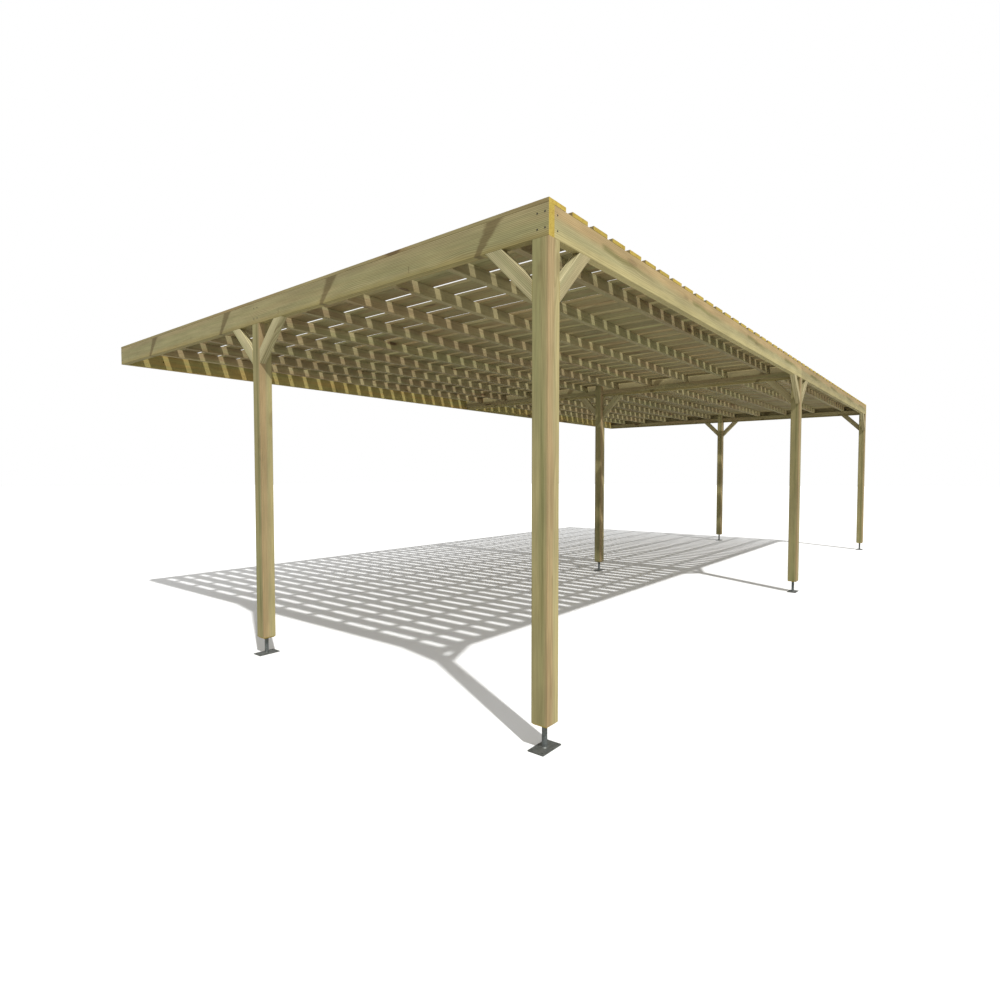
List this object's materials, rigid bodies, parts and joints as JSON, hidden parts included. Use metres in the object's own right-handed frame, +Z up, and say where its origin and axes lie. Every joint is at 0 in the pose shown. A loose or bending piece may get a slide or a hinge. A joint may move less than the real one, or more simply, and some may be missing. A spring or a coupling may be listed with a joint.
{
  "type": "lean-to timber pergola",
  "caption": "Open lean-to pergola of square softwood posts on steel rod feet, with a wall beam, diagonal braces, rafters and a flat roof of spaced slats.",
  "frame": {"origin": "on the ground, under the middle of the roof", "axes": "+X along the front towards its right end, +Y from the front towards the wall, +Z up"},
  "size_m": [9.76, 4.85, 2.48],
  "materials": {
    "post_timber": "planed pressure-treated softwood, matt",
    "beam_timber": "planed pressure-treated softwood, matt",
    "rafter_timber": "planed pressure-treated softwood, matt",
    "roof_slats": "planed pressure-treated softwood, matt",
    "steel_feet": "hot-dip galvanised, weathered dull grey"
  },
  "bodies": {
    "root": {"post_front_left": "post_timber", "post_front_middle": "post_timber", "post_front_right": "post_timber", "post_inner_left": "post_timber", "post_inner_middle": "post_timber", "post_inner_right": "post_timber", "foot_front_left": "steel_feet", "foot_front_middle": "steel_feet", "foot_front_right": "steel_feet", "foot_inner_left": "steel_feet", "foot_inner_middle": "steel_feet", "foot_inner_right": "steel_feet", "frame_beam_left": "beam_timber", "frame_beam_middle": "beam_timber", "frame_beam_right": "beam_timber", "front_beam_left": "beam_timber", "front_beam_right": "beam_timber", "wall_beam_left": "beam_timber", "wall_beam_right": "beam_timber", "bearer_left": "rafter_timber", "bearer_middle_left": "rafter_timber", "bearer_middle_right": "rafter_timber", "bearer_right": "rafter_timber", "rafters_left_bay": "rafter_timber", "rafters_right_bay": "rafter_timber", "slats_left_bay": "roof_slats", "slats_right_bay": "roof_slats", "brace_front_left_side": "beam_timber", "brace_front_left_back": "beam_timber", "brace_front_middle_left": "beam_timber", "brace_front_middle_right": "beam_timber", "brace_front_middle_back": "beam_timber", "brace_front_right_side": "beam_timber", "brace_front_right_back": "beam_timber", "brace_inner_left_front": "beam_timber", "brace_inner_left_back": "beam_timber", "brace_inner_middle_front": "beam_timber", "brace_inner_middle_back": "beam_timber", "brace_inner_right_front": "beam_timber", "brace_inner_right_back": "beam_timber"}
  },
  "joints": []
}
